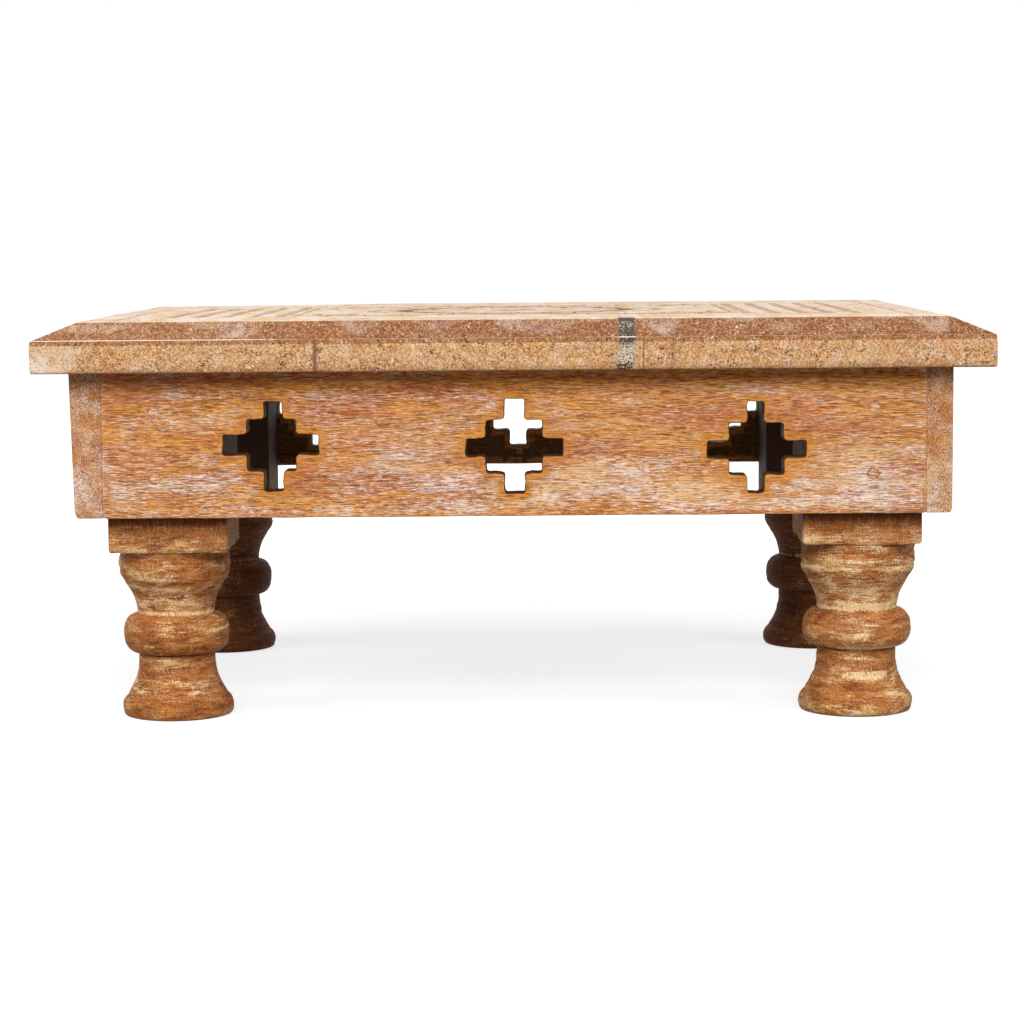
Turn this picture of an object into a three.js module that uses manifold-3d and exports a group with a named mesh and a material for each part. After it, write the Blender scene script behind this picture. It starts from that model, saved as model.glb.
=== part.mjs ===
// A low carved table on four short turned legs, with pierced aprons.
// Millimetres, +Z up. The origin is on the floor under the middle of the table, and the front
// faces -Y.

import * as THREE from "three";
import { mergeVertices } from "three/addons/utils/BufferGeometryUtils.js";
import Module from "manifold-3d";

// Top: three boards glued side by side, their grain running front to back
const topWidth = 600;
const topDepth = 450;
const topEdgeHeight = 20.5;
const lowerEdgeChamfer = 1.2;
const upperEdgeChamferHeight = 3.5;
const upperEdgeChamferRun = 0.8;
const bevelRise = 11;
const bevelRun = 26.5;
const leftBoardWidth = 177.4;
const centreBoardWidth = 203.8;

// Carving in the flat of the top: a frame line, reeds at both ends, and a ringed middle panel
const grooveWidth = 3;
const grooveDepth = 1.5;
const frameLineInset = 19;
const reedGrooves = 5;
const reedPitch = 17.6;
const frameLineToReeds = 30.5;
const panelDepth = 216;
const panelToReedsGap = 9;
const ringRadii = [100, 77];
const ringFacets = 40;

// Aprons: the side boards run the full depth, and the front and back ones fit between them
const topOverhang = 22.5;
const apronThickness = 18;
const railBelowCutouts = 15;
const railAboveCutouts = 19;

// Cut-outs: stepped crosses in rows 1, 3, 5, 3 and 1 steps wide
const cutoutStepWidth = 12.3;
const cutoutStepHeight = 11.8;
const cutoutSteps = 2;
const cutoutCornerRadius = 1.8;
const cutoutCornerSteps = 2;
const cutoutToLegGap = 0.3;
const leastBridge = 70;

// Legs: square stock, with its lower part turned
const legStock = 76;
const blockBelowApron = 22.5;
const turnedWaste = 1;
const collarHeight = 12.5;
const coveHeight = 28;
const upperNeckHeight = 3;
const bulbHeight = 27;
const lowerNeckHeight = 2.5;
const flareHeight = 29;
const footRimHeight = 9;
const footRounding = 2;
const neckRadius = 25.7;
const bulbRadius = 35.6;
const footRadius = 36.4;
const legFacets = 24;
const swellSteps = 5;
const bulbSteps = 7;
const footEdgeSteps = 2;

// How long the flare and the cove stay upright at their lower and upper ends, as shares of
// their own heights
const flareHolds = [0.2, 0.6];
const coveHolds = [0.45, 0.25];

// Cleats: battens glued along the aprons between the leg blocks, and screwed up into the top
const cleatWidth = 18;
const cleatHeight = 18;
const cleatScrewEndInset = 50;
const mostCleatScrewSpacing = 140;

// Fixings: countersunk wood screws, and the wooden plugs over those in the legs
const fitGap = 0.3;
const legScrewLength = 42;
const cleatScrewLength = 30;
const screwHeadRadius = 3.2;
const screwHeadHeight = 2.6;
const screwShankRadius = 1.9;
const screwTipLength = 5;
const screwFacets = 8;
const screwOutFromLegAxis = 5;
const frontScrewInset = 25.3;
const sideScrewInset = 13;
const plugRadius = 3.5;
const plugDepth = 4;
const plugFacets = 10;

// How far a cutting shape runs past what it cuts, and a joined one into its neighbour
const overrun = 2;

// Sizes that follow from the ones above
const topThickness = topEdgeHeight + bevelRise;
const cutoutRows = 2 * cutoutSteps + 1;
const cutoutWidth = cutoutRows * cutoutStepWidth;
const cutoutHeight = cutoutRows * cutoutStepHeight;
const apronHeight = railBelowCutouts + cutoutHeight + railAboveCutouts;
const flareTop = footRimHeight + flareHeight;
const bulbBottom = flareTop + lowerNeckHeight;
const bulbTop = bulbBottom + bulbHeight;
const coveBottom = bulbTop + upperNeckHeight;
const coveTop = coveBottom + coveHeight;
const blockBottom = coveTop + collarHeight;
const apronBottom = blockBottom + blockBelowApron;
const apronTop = apronBottom + apronHeight;
const innerWidth = topWidth - 2 * (topOverhang + apronThickness);
const innerDepth = topDepth - 2 * (topOverhang + apronThickness);
const legX = (innerWidth - legStock) / 2;
const legY = (innerDepth - legStock) / 2;

// The four sides of the frame. A side is laid out as seen from the front, with its x along the
// apron, y = 0 on the apron's outer face and z = 0 on its lower edge, and is then turned about
// the table's middle.
const front = {
  name: "front",
  turn: 0,
  outerFace: innerDepth / 2 + apronThickness,
  apronLength: innerWidth,
  legAxis: legX,
  screwInset: frontScrewInset,
};
const left = {
  name: "left",
  turn: -Math.PI / 2,
  outerFace: innerWidth / 2 + apronThickness,
  apronLength: innerDepth + 2 * apronThickness,
  legAxis: legY,
  screwInset: sideScrewInset,
};
const back = { ...front, name: "back", turn: Math.PI };
const right = { ...left, name: "right", turn: Math.PI / 2 };
const sides = [front, back, left, right];

const legCorners = [
  { name: "leg_front_left", x: -1, y: -1, sides: [front, left] },
  { name: "leg_front_right", x: 1, y: -1, sides: [front, right] },
  { name: "leg_back_left", x: -1, y: 1, sides: [back, left] },
  { name: "leg_back_right", x: 1, y: 1, sides: [back, right] },
];

const finishes = {
  carvedWood: { color: 0xd9c2a0, roughness: 0.8, metalness: 0 },
  apronWood: { color: 0xb8763a, roughness: 0.65, metalness: 0 },
  legWood: { color: 0xa56a34, roughness: 0.65, metalness: 0 },
  plainWood: { color: 0xb08958, roughness: 0.85, metalness: 0 },
  plugWood: { color: 0xa98a5c, roughness: 0.8, metalness: 0 },
  steel: { color: 0x8c8a86, roughness: 0.4, metalness: 1 },
};

const vertical = new THREE.Vector3(0, 0, 1);

const wasm = await Module();
wasm.setup();

// Turns a closed geometry into a solid that can be joined and cut
function solidOf(geometry) {
  geometry.deleteAttribute("normal");
  geometry.deleteAttribute("uv");
  const welded = mergeVertices(geometry);
  const index = welded.index.array;
  const triangles = [];
  for (let i = 0; i < index.length; i += 3) {
    const [a, b, c] = index.slice(i, i + 3);
    // A turned shape has collapsed triangles where it meets its own axis
    if (a !== b && b !== c && c !== a) {
      triangles.push(a, b, c);
    }
  }
  return new wasm.Manifold(new wasm.Mesh({
    numProp: 3,
    vertProperties: new Float32Array(welded.attributes.position.array),
    triVerts: new Uint32Array(triangles),
  }));
}

function cut(solid, shapes) {
  return shapes.reduce((rest, shape) => rest.subtract(solidOf(shape)), solid);
}

function meshOf(name, solid, finish) {
  const { vertProperties, triVerts } = solid.getMesh();
  const geometry = new THREE.BufferGeometry();
  geometry.setAttribute("position", new THREE.BufferAttribute(vertProperties, 3));
  geometry.setIndex(new THREE.BufferAttribute(triVerts, 1));
  geometry.computeVertexNormals();
  const mesh = new THREE.Mesh(geometry, new THREE.MeshStandardMaterial(finish));
  mesh.name = name;
  return mesh;
}

// Extrudes an outline that is drawn as seen from the front, from y = start to y = end
function uprightExtrusion(shape, start, end, curveSegments = 1) {
  const settings = { depth: end - start, bevelEnabled: false, curveSegments };
  const geometry = new THREE.ExtrudeGeometry(shape, settings);
  return geometry.rotateX(Math.PI / 2).translate(0, end, 0);
}

// Revolves points of radius and height about +Z
function revolved(points, facets) {
  return new THREE.LatheGeometry(points, facets).rotateX(Math.PI / 2);
}

function pointsFrom(pairs) {
  return pairs.map(([x, y]) => new THREE.Vector2(x, y));
}

function rectangle(left, bottom, right, top) {
  const corners = [[left, bottom], [right, bottom], [right, top], [left, top]];
  return new THREE.Shape(pointsFrom(corners));
}

// Places that are spread evenly over a span about 0
function spread(count, span) {
  const step = count > 1 ? span / (count - 1) : 0;
  return Array.from({ length: count }, (unused, i) => (i - (count - 1) / 2) * step);
}

// Moves a shape from a side's own layout to its place in the table
function inTable(shape, side) {
  return shape.translate(0, -side.outerFace, apronBottom).rotateZ(side.turn);
}

// Screws and plugs are drawn head up, with the head's face at z = 0. A spare enlarges them all
// round, which gives the shape of the hole that they fit.
function screw(length, spare = 0) {
  const outline = [
    [0, -length - spare],
    [screwShankRadius + spare, screwTipLength - length],
    [screwShankRadius + spare, -screwHeadHeight - spare],
    [screwHeadRadius + spare, spare],
    [0, spare],
  ];
  return revolved(pointsFrom(outline), screwFacets);
}

function plug(spare = 0) {
  const radius = plugRadius + spare;
  const geometry = new THREE.CylinderGeometry(radius, radius, plugDepth + 2 * spare, plugFacets);
  return geometry.rotateX(Math.PI / 2).translate(0, 0, -plugDepth / 2);
}

function headOutward(shape) {
  return shape.rotateX(Math.PI / 2);
}

function headDown(shape) {
  return shape.rotateX(Math.PI);
}

function legFixingPlaces(side) {
  const heights = [side.screwInset, apronHeight - side.screwInset];
  const across = side.legAxis + screwOutFromLegAxis;
  return [-across, across].flatMap((x) => heights.map((z) => [x, 0, z]));
}

function legPlugs(side, spare = 0) {
  return legFixingPlaces(side).map((place) => headOutward(plug(spare)).translate(...place));
}

function legScrews(side, spare = 0) {
  return legFixingPlaces(side).map(([x, y, z]) => {
    const headDepth = plugDepth + fitGap;
    return headOutward(screw(legScrewLength, spare)).translate(x, y + headDepth, z);
  });
}

function spanBetweenLegs(side) {
  return 2 * side.legAxis - legStock;
}

function cleatScrewPlaces(side) {
  const span = Math.max(spanBetweenLegs(side) - 2 * cleatScrewEndInset, 0);
  const gaps = Math.max(Math.ceil(span / mostCleatScrewSpacing), 1);
  return spread(gaps + 1, span);
}

function cleatScrews(side, spare = 0) {
  const y = apronThickness + cleatWidth / 2;
  const z = apronHeight - cleatHeight;
  return cleatScrewPlaces(side).map((x) => {
    return headDown(screw(cleatScrewLength, spare)).translate(x, y, z);
  });
}

// Follows a closed outline with every corner rounded
function roundedOutline(points, radius) {
  const path = new THREE.Path();
  points.forEach((corner, i) => {
    const towards = (point) => corner.clone().add(point.clone().sub(corner).setLength(radius));
    const arrive = towards(points.at(i - 1));
    const leave = towards(points[(i + 1) % points.length]);
    if (i === 0) {
      path.moveTo(arrive.x, arrive.y);
    } else {
      path.lineTo(arrive.x, arrive.y);
    }
    path.quadraticCurveTo(corner.x, corner.y, leave.x, leave.y);
  });
  path.closePath();
  return path;
}

// The corners of one quarter of a stepped cross, counted in steps from its centre
function stairCorners() {
  const corners = [];
  for (let step = 0; step <= cutoutSteps; step += 1) {
    const out = cutoutSteps + 0.5 - step;
    const up = step + 0.5;
    corners.push([out, up]);
    if (step < cutoutSteps) {
      corners.push([out - 1, up]);
    }
  }
  return pointsFrom(corners);
}

// A stepped cross: one stair, repeated round the four quarters
function steppedCross(centreX, centreY) {
  const centre = new THREE.Vector2(centreX, centreY);
  const stepSize = new THREE.Vector2(cutoutStepWidth, cutoutStepHeight);
  const middle = new THREE.Vector2(0, 0);
  const corners = [0, 1, 2, 3].flatMap((quarter) => {
    return stairCorners().map((corner) => {
      return corner.rotateAround(middle, quarter * Math.PI / 2).multiply(stepSize).add(centre);
    });
  });
  const longestRounding = Math.min(cutoutStepWidth, cutoutStepHeight) / 2;
  return roundedOutline(corners, Math.min(cutoutCornerRadius, longestRounding));
}

// The outermost cut-outs come right up to the leg blocks, and any others lie between them
function cutoutPlaces(side) {
  const room = spanBetweenLegs(side) - cutoutWidth - 2 * cutoutToLegGap;
  const gaps = Math.max(Math.floor(room / (cutoutWidth + leastBridge)), 0);
  return spread(gaps + 1, room);
}

function apron(side) {
  const half = side.apronLength / 2;
  const outline = rectangle(-half, 0, half, apronHeight);
  const middle = railBelowCutouts + cutoutHeight / 2;
  outline.holes = cutoutPlaces(side).map((x) => steppedCross(x, middle));
  const board = solidOf(uprightExtrusion(outline, 0, apronThickness, cutoutCornerSteps));
  return cut(board, [...legPlugs(side, fitGap), ...legScrews(side, fitGap)]);
}

function cleat(side) {
  const length = spanBetweenLegs(side) - 2 * fitGap;
  const batten = new THREE.BoxGeometry(length, cleatWidth, cleatHeight);
  batten.translate(0, apronThickness + cleatWidth / 2, apronHeight - cleatHeight / 2);
  return cut(solidOf(batten), cleatScrews(side, fitGap));
}

// Gives each shape of a set its own numbered mesh
function meshSet(name, shapes, finish) {
  return shapes.map((shape, i) => meshOf(`${name}_${i + 1}`, solidOf(shape), finish));
}

function sideAssembly(side) {
  const group = new THREE.Group();
  group.add(
    meshOf(`apron_${side.name}`, apron(side), finishes.apronWood),
    meshOf(`cleat_${side.name}`, cleat(side), finishes.plainWood),
    ...meshSet(`leg_screw_${side.name}`, legScrews(side), finishes.steel),
    ...meshSet(`screw_plug_${side.name}`, legPlugs(side), finishes.plugWood),
    ...meshSet(`cleat_screw_${side.name}`, cleatScrews(side), finishes.steel),
  );
  group.rotation.z = side.turn;
  group.position.set(0, -side.outerFace, apronBottom).applyAxisAngle(vertical, side.turn);
  return group;
}

// A curve from one radius and height up to another, upright at both ends
function swell(low, high, holds) {
  const height = high.y - low.y;
  const lowGuide = new THREE.Vector2(low.x, low.y + holds[0] * height);
  const highGuide = new THREE.Vector2(high.x, high.y - holds[1] * height);
  return new THREE.CubicBezierCurve(low, lowGuide, highGuide, high).getPoints(swellSteps);
}

// The turned part, from the floor up: rounded foot, flare, neck, bulb, neck, cove and collar
function turnedOutline() {
  const at = (radius, height) => new THREE.Vector2(radius, height);
  const collarRadius = legStock / 2 - turnedWaste;
  const sole = at(footRadius - footRounding, 0);
  const footEdge = new THREE.QuadraticBezierCurve(sole, at(footRadius, 0), at(footRadius, footRounding));
  const bulge = bulbRadius - neckRadius;
  const quarter = Math.PI / 2;
  const middle = bulbBottom + bulbHeight / 2;
  const bulb = new THREE.EllipseCurve(neckRadius, middle, bulge, bulbHeight / 2, -quarter, quarter);
  return [
    at(0, 0),
    ...footEdge.getPoints(footEdgeSteps),
    ...swell(at(footRadius, footRimHeight), at(neckRadius, flareTop), flareHolds),
    ...bulb.getPoints(bulbSteps),
    ...swell(at(neckRadius, coveBottom), at(collarRadius, coveTop), coveHolds),
    at(collarRadius, blockBottom + overrun),
    at(0, blockBottom + overrun),
  ];
}

function leg(corner) {
  const block = new THREE.BoxGeometry(legStock, legStock, apronTop - blockBottom);
  block.translate(0, 0, (apronTop + blockBottom) / 2);
  const whole = solidOf(block).add(solidOf(revolved(turnedOutline(), legFacets)));
  const holes = corner.sides.flatMap((side) => {
    return legScrews(side, fitGap).map((hole) => inTable(hole, side));
  });
  return cut(whole, holes.map((hole) => hole.translate(-corner.x * legX, -corner.y * legY, 0)));
}

// The edge of the top in section, across the given width
function topSection(width) {
  const half = width / 2;
  const rightEdge = [
    [half - lowerEdgeChamfer, 0],
    [half, lowerEdgeChamfer],
    [half, topEdgeHeight - upperEdgeChamferHeight],
    [half - upperEdgeChamferRun, topEdgeHeight],
    [half - bevelRun, topThickness],
  ];
  const leftEdge = rightEdge.map(([x, y]) => [-x, y]).reverse();
  return new THREE.Shape(pointsFrom([...rightEdge, ...leftEdge]));
}

// A V groove along Y in a face at z = 0
function grooveAlongY(x, length) {
  const section = [
    [x, -grooveDepth],
    [x + grooveWidth, grooveDepth],
    [x - grooveWidth, grooveDepth],
  ];
  return uprightExtrusion(new THREE.Shape(pointsFrom(section)), -length / 2, length / 2);
}

function grooveAlongX(y, length) {
  return grooveAlongY(-y, length).rotateZ(-Math.PI / 2);
}

function grooveRing(radius) {
  const section = [
    [radius, -grooveDepth],
    [radius + grooveWidth, grooveDepth],
    [radius - grooveWidth, grooveDepth],
    [radius, -grooveDepth],
  ];
  return revolved(pointsFrom(section), ringFacets);
}

// A rectangle of grooves with its corners crossed
function grooveFrame(halfX, halfY) {
  const lengthX = 2 * halfX + grooveWidth;
  const lengthY = 2 * halfY + grooveWidth;
  return [-1, 1].flatMap((way) => {
    return [grooveAlongY(way * halfX, lengthY), grooveAlongX(way * halfY, lengthX)];
  });
}

function carving() {
  const frameX = topWidth / 2 - bevelRun - frameLineInset;
  const frameY = topDepth / 2 - bevelRun - frameLineInset;
  const outerReed = frameX - frameLineToReeds;
  const reeds = Array.from({ length: reedGrooves }, (unused, i) => outerReed - i * reedPitch);
  const panelX = reeds.at(-1) - panelToReedsGap;
  return [
    ...grooveFrame(frameX, frameY),
    ...grooveFrame(panelX, panelDepth / 2),
    ...reeds.flatMap((x) => [grooveAlongY(-x, panelDepth), grooveAlongY(x, panelDepth)]),
    ...ringRadii.map(grooveRing),
  ];
}

function topPanel() {
  const acrossWidth = topSection(topWidth);
  const acrossDepth = topSection(topDepth);
  const halfX = topWidth / 2 + overrun;
  const halfY = topDepth / 2 + overrun;
  const panel = solidOf(uprightExtrusion(acrossWidth, -halfY, halfY)).intersect(
    solidOf(uprightExtrusion(acrossDepth, -halfX, halfX).rotateZ(Math.PI / 2)),
  );
  const screwHoles = sides.flatMap((side) => {
    return cleatScrews(side, fitGap).map((hole) => inTable(hole, side));
  });
  return cut(panel, [
    ...carving().map((groove) => groove.translate(0, 0, topThickness)),
    ...screwHoles.map((hole) => hole.translate(0, 0, -apronTop)),
  ]);
}

// The panel as its separate boards, parted at the glue lines
function topBoards() {
  const leftJoint = leftBoardWidth - topWidth / 2;
  const rightJoint = leftJoint + centreBoardWidth;
  const endX = topWidth / 2 + overrun;
  const endY = topDepth / 2 + overrun;
  const boards = [
    ["top_board_left", -endX, leftJoint],
    ["top_board_centre", leftJoint, rightJoint],
    ["top_board_right", rightJoint, endX],
  ];
  const panel = topPanel();
  return boards.map(([name, from, to]) => {
    const outline = rectangle(from, -overrun, to, topThickness + overrun);
    const slice = solidOf(uprightExtrusion(outline, -endY, endY));
    const board = meshOf(name, panel.intersect(slice), finishes.carvedWood);
    board.position.z = apronTop;
    return board;
  });
}

const table = new THREE.Group();
table.add(...topBoards(), ...sides.map(sideAssembly));
for (const corner of legCorners) {
  const mesh = meshOf(corner.name, leg(corner), finishes.legWood);
  mesh.position.set(corner.x * legX, corner.y * legY, 0);
  table.add(mesh);
}

export default table;
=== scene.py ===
# The looks of a low carved table on four turned legs, with pierced aprons.
# Metres, +Z up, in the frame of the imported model. The front faces -Y.

import itertools
from collections import namedtuple
from math import cos, pi, radians, sin

import bmesh
import bpy
import numpy as np
from mathutils import Matrix, Vector
from mathutils.geometry import delaunay_2d_cdt


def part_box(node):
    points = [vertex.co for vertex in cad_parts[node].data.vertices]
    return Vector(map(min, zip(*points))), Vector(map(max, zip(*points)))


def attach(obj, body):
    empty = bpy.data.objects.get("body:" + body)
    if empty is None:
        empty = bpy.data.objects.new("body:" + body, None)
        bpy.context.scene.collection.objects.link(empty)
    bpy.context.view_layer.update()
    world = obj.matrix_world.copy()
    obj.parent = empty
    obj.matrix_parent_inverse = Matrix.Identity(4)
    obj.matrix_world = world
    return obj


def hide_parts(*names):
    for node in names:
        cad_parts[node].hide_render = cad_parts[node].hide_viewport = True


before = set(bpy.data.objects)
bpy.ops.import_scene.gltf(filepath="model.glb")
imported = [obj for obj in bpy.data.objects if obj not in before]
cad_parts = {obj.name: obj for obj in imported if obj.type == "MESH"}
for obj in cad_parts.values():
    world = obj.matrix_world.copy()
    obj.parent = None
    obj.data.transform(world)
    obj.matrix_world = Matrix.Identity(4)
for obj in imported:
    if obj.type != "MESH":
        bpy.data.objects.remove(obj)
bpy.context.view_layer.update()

MM = 0.001

# Sizes of the top, besides those that the frame gives
BEVEL_RUN = 26.5 * MM
BEVEL_RISE = 11 * MM
BEVEL_END = 0.8 * MM
TOP_GRID = 1.25 * MM
ARRIS_STEPS = np.array([0, 0.3, 0.7, 1.2, 1.9, 2.8]) * MM
JOINT_STEPS = np.array([0, 0.3, 0.8]) * MM
JOINT_DEPTH = 0.3 * MM
BACK_FALL, CORNER_FALL = 1.9 * MM, 1.2 * MM

# Carving of the top
FRAME_X, FRAME_Y = 254.5 * MM, 179.5 * MM
PANEL_X, PANEL_Y = 144.6 * MM, 108 * MM
REED_FIRST, REED_PITCH, REEDS = 153.6 * MM, 17.6 * MM, 5
REED_END, REED_HALF = 135 * MM, 4.6 * MM
RING_OUTER, RING_INNER, BOSS_RADIUS = 100 * MM, 77 * MM, 13 * MM
GROOVE_HALF, WIDE_GROOVE_HALF, GROOVE_DEPTH = 3.1 * MM, 3.8 * MM, 1.6 * MM
RING_GROOVE_HALF, FINE_GROOVE_HALF = 6 * MM, 1.7 * MM
PETALS, SCALLOPS = 12, 24
PETAL_REACH, PETAL_START = 54 * MM, (15 * MM, 22 * MM)
DOTS, DOT_RING, DOT_RADIUS = 8, 7 * MM, 2.6 * MM
LEAF_INSET, LEAF_REACH = 8 * MM, 34 * MM
NICK_PITCH, NICK_HALF_WIDTH, NICK_HALF_LENGTH = 24.6 * MM, 1.9 * MM, 11 * MM

# Aprons and their cut-outs
ARRIS = 0.8 * MM
SUPPORT = 0.5 * MM
OUTLINE_STEP = 0.7 * MM
FACE_GRID = 5 * MM
CUTOUT_GRID = 1.3 * MM
CUTOUT_MARGIN = 7 * MM
STEP_WIDTH, STEP_HEIGHT = 12.3 * MM, 11.8 * MM
CUTOUT_HEIGHT = 178 * MM
SIDE_CUTOUT_PLACES = (-77.45 * MM, 77.45 * MM)
BACK_CUTOUT_PLACES = (-152.45 * MM, 0, 152.45 * MM)

# The plugs and their holes in section: radius and depth in mm
PLUG_HOLE = [(3.8, 0), (3.54, 0.04), (3.5, 0.25), (3.5, 1.5)]
PLUG = [(1.68, 0.06), (3.024, 0.03), (3.3096, 0.05), (3.36, 0.25), (3.36, 1.45)]

# How far a side's outer face stands out at its foot and its top, and how far its foot is worn back
LEANS = {"left": (0, 2.0 * MM, 2.4 * MM), "right": (-1.6 * MM, -1.4 * MM, 1.2 * MM)}

# Where the saw cut the edges of the front cut-outs, from the left and from below
FRONT_CUTOUTS = [
    ((-182.9, -167.5, -156.7, -145.3, -137.1, -122.9), (150.8, 163.6, 173.8, 186.2, 195.6, 207.1)),
    ((-29.8, -17.3, -5.4, 6.8, 17.9, 31.1), (147.9, 160.8, 171.7, 182.7, 194.5, 207.8)),
    ((122.0, 135.7, 147.0, 157.3, 169.5, 183.9), (147.6, 159.2, 169.4, 180.0, 191.3, 204.9)),
]

# Legs
LEG_TURN_STEPS = 192
LEG_CORNER_CROWDING = 0.6
LEG_ROW = 0.9 * MM
TOOL_DEPTH = 0.5 * MM
BLOCK_ROW = 4 * MM
BLOCK_ROUNDING = 1.6 * MM

MARKS = ("wash", "wear", "dirt", "stain", "ridge", "turned")


def vectors(*parts):
    """Points from their coordinates, each an array or one number."""
    return np.stack(np.broadcast_arrays(*parts), axis=-1)


def ramp(value, low, high):
    t = np.clip((value - low) / (high - low), 0, 1)
    return t * t * (3 - 2 * t)


def hump(distance, width):
    """1 at no distance, falling smoothly to 0 over twice the width."""
    return np.exp(-(distance / width) ** 2)


# Smooth repeatable noise

def lattice_value(cell, seed):
    """A repeatable value from 0 to 1 for each cell."""
    mixed = cell[..., 0] * 73856093 ^ cell[..., 1] * 19349663 ^ cell[..., 2] * 83492791
    mixed = (mixed ^ seed * 265443576) & 0xFFFFFFFF
    mixed = (mixed ^ (mixed >> 15)) * 2246822519 & 0xFFFFFFFF
    mixed = (mixed ^ (mixed >> 13)) * 3266489917 & 0xFFFFFFFF
    return ((mixed ^ (mixed >> 16)) & 0xFFFF) / 0xFFFF


def noise(points, size_mm, seed):
    """Smooth noise from -1 to 1, with lumps of the given size."""
    points = np.asarray(points, float) / (np.asarray(size_mm) * MM)
    cell = np.floor(points).astype(np.int64)
    part = points - cell
    part = part * part * (3 - 2 * part)
    total = 0
    for corner in itertools.product((0, 1), repeat=3):
        share = np.where(np.array(corner) == 1, part, 1 - part).prod(axis=-1)
        total = total + share * lattice_value(cell + np.array(corner), seed)
    return 2 * total - 1


# Closed pieces, built of rows of vertices

def add_object(name, data):
    made = bpy.data.objects.new(name, data)
    bpy.context.scene.collection.objects.link(made)
    return made


class Shell:
    """Collects the vertices, faces and marks of one piece."""

    def __init__(self):
        self.points = []
        self.faces = []
        self.marks = {mark: [] for mark in MARKS}

    def add(self, points, **marks):
        """Adds vertices, and gives back their numbers as a row."""
        points = np.asarray(points, float).reshape(-1, 3)
        for mark in MARKS:
            self.marks[mark].append(np.broadcast_to(marks.get(mark, 0.0), len(points)))
        start = sum(map(len, self.points))
        self.points.append(points)
        return np.arange(start, start + len(points))

    def join(self, rows):
        """Joins each ring of vertices to the next."""
        for first, second in zip(rows, rows[1:]):
            quads = vectors(first, np.roll(first, -1), np.roll(second, -1), second)
            self.faces += quads.tolist()

    def sheet(self, grid):
        """Fills a grid of vertices with quads."""
        quads = vectors(grid[:-1, :-1], grid[1:, :-1], grid[1:, 1:], grid[:-1, 1:])
        self.faces += quads.reshape(-1, 4).tolist()

    def cap(self, ring):
        self.faces.append(ring.tolist())

    def piece(self, name, material, node):
        """Makes the object, which stands for the given node."""
        mesh = bpy.data.meshes.new(name)
        mesh.from_pydata(np.concatenate(self.points).tolist(), [], self.faces)
        built = bmesh.new()
        built.from_mesh(mesh)
        bmesh.ops.recalc_face_normals(built, faces=built.faces)
        built.to_mesh(mesh)
        built.free()
        for mark in MARKS:
            layer = mesh.attributes.new(mark, "FLOAT", "POINT")
            layer.data.foreach_set("value", np.concatenate(self.marks[mark]).astype(np.float32))
        mesh.shade_smooth()
        mesh.set_sharp_from_angle(angle=radians(48))
        mesh.materials.append(material)
        made = add_object(name, mesh)
        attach(made, "root")
        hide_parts(node)


# Procedural materials

def linear(hex_colour):
    """A colour written as sRGB hex digits, in linear values."""
    parts = [int(hex_colour[i:i + 2], 16) / 255 for i in (0, 2, 4)]
    return [p / 12.92 if p <= 0.04045 else ((p + 0.055) / 1.055) ** 2.4 for p in parts] + [1.0]


class Value:
    """What nodes work out. Numbers and vectors can stand in sums."""

    def __init__(self, graph, socket):
        self.graph = graph
        self.socket = socket

    def __add__(self, other):
        return self.graph.math("ADD", self, other)

    def __sub__(self, other):
        return self.graph.math("SUBTRACT", self, other)

    def __rsub__(self, other):
        return self.graph.math("SUBTRACT", other, self)

    def __mul__(self, other):
        return self.graph.math("MULTIPLY", self, other)

    def __abs__(self):
        return self.graph.math("ABSOLUTE", self)

    def clamped(self):
        made = self + 0.0
        made.socket.node.use_clamp = True
        return made

    def scaled(self, factor):
        return self.graph.node("VectorMath", {0: self, "Scale": factor}, operation="SCALE")

    def length(self):
        return self.graph.node("VectorMath", {0: self}, "Value", operation="LENGTH")

    def split(self):
        first = self.graph.node("SeparateXYZ", {0: self})
        return [Value(self.graph, socket) for socket in first.socket.node.outputs]

    def step(self, low, high):
        """0 below low, 1 above high and smooth between, or the other way round."""
        ends = {"From Min": min(low, high), "From Max": max(low, high),
                "To Min": float(low > high), "To Max": float(low < high)}
        return self.graph.node("MapRange", {"Value": self, **ends}, interpolation_type="SMOOTHSTEP")

    def between(self, first, second):
        """The first colour where this is 0, and the second where it is 1."""
        return self.graph.node("Mix", {0: self, 6: first, 7: second}, 2, data_type="RGBA")


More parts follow.
